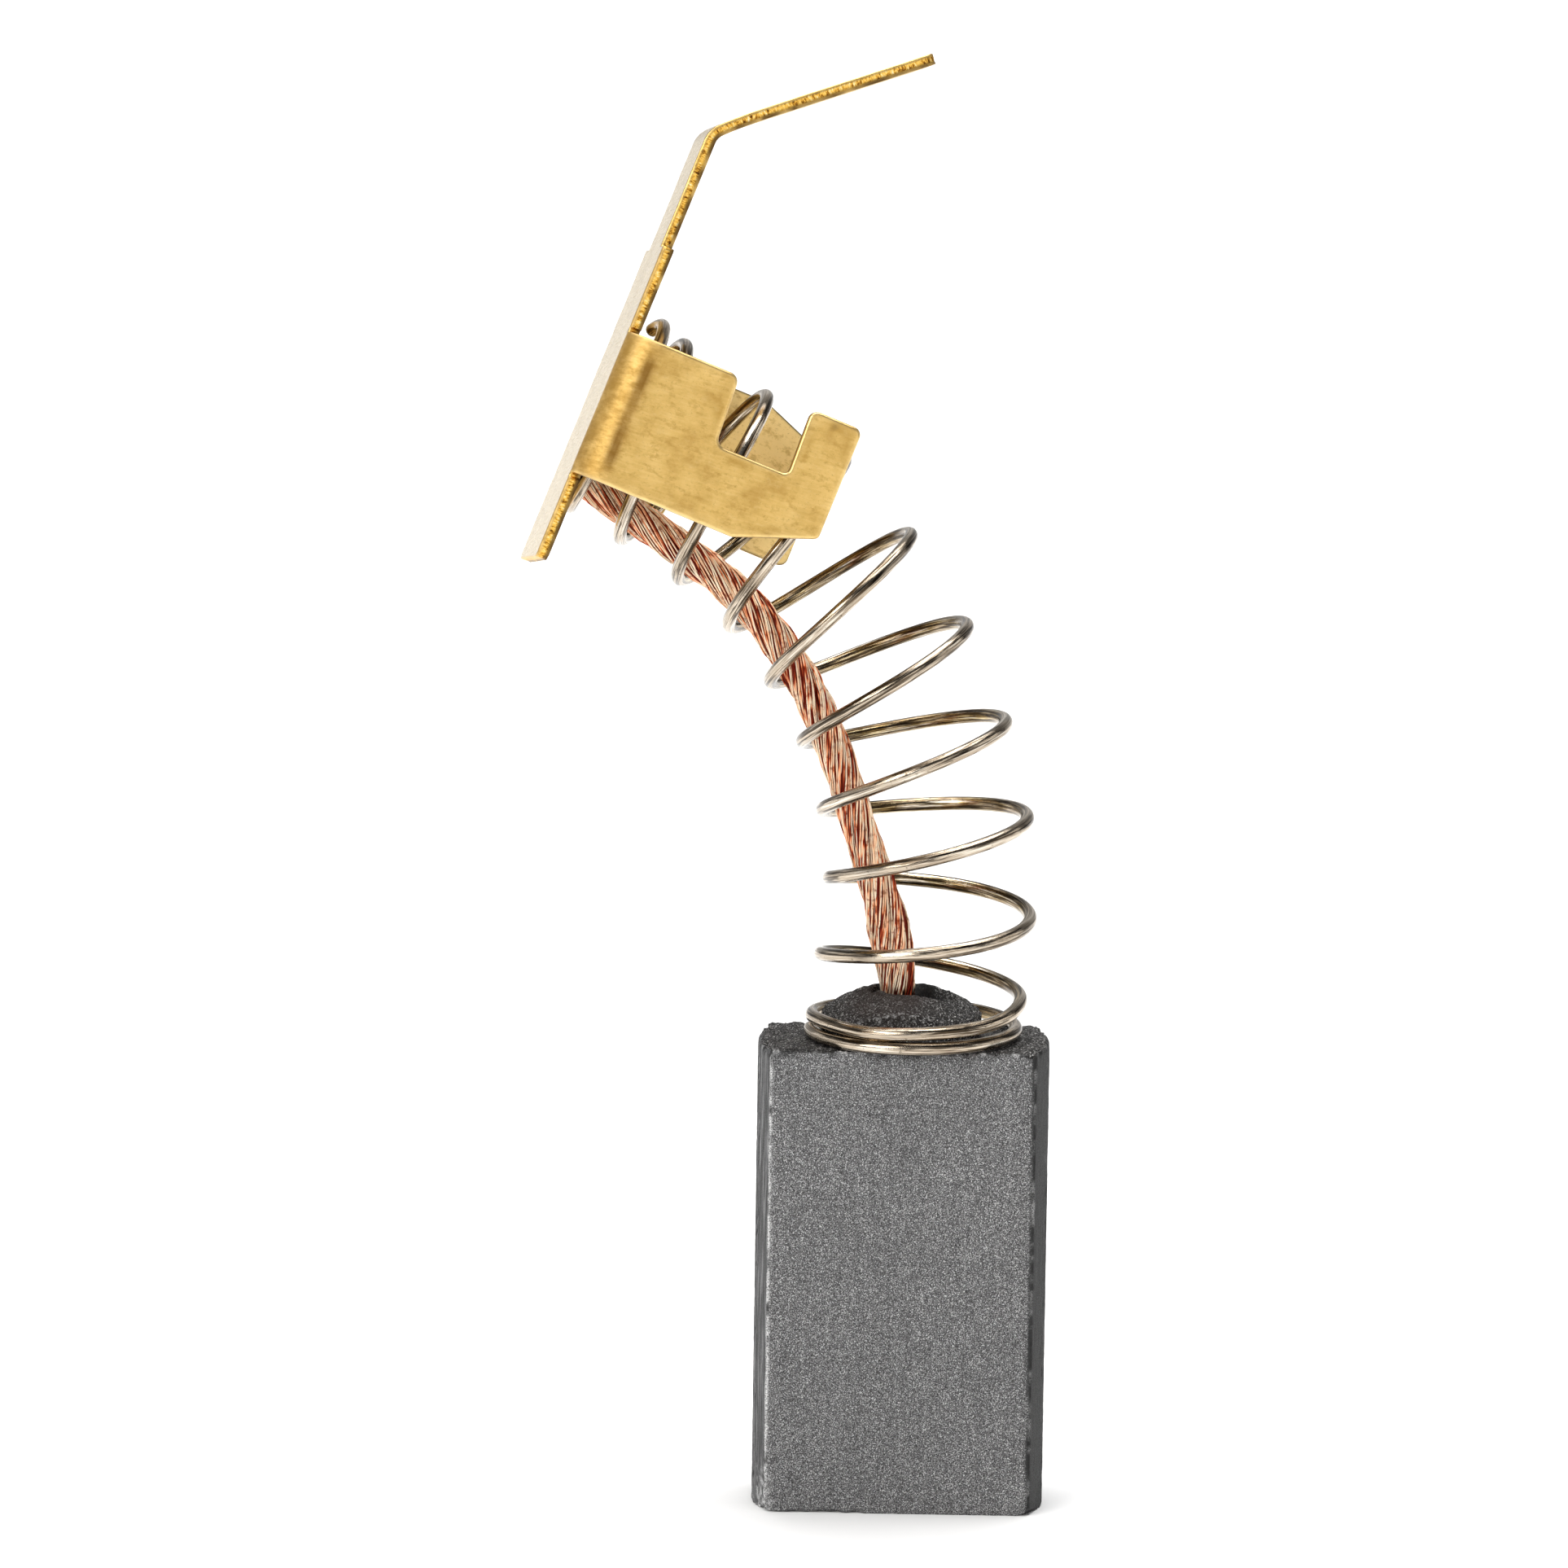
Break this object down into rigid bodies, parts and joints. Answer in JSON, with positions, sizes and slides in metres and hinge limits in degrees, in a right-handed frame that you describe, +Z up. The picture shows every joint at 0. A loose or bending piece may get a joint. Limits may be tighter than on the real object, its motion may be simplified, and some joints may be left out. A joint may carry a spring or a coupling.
{
  "type": "carbon brush",
  "caption": "Carbon motor brush: bevelled carbon block with a stranded copper lead inside a coil spring that ends in a folded brass terminal with a contact tongue.",
  "frame": {"origin": "middle of the face that runs on the commutator, which is the block's lower face and the face the brush stands on", "axes": "+Z up along the block, away from the commutator; X across the block's width, with the spring and the terminal bent over towards -X; +Y through the block's thickness, away from the front"},
  "size_m": [0.0184, 0.0109, 0.0498],
  "materials": {
    "carbon": "dry moulded carbon-graphite, matt grey with fine grain",
    "copper_strand": "bare fine copper wires, twisted in bundles",
    "spring_wire": "drawn spring wire, nickel-bright",
    "terminal_brass": "rolled brass sheet, fine brushed grain, stamped edges"
  },
  "bodies": {
    "root": {"carbon_block": "carbon", "shunt_lead": "copper_strand", "spring": "spring_wire", "terminal": "terminal_brass"}
  },
  "joints": []
}
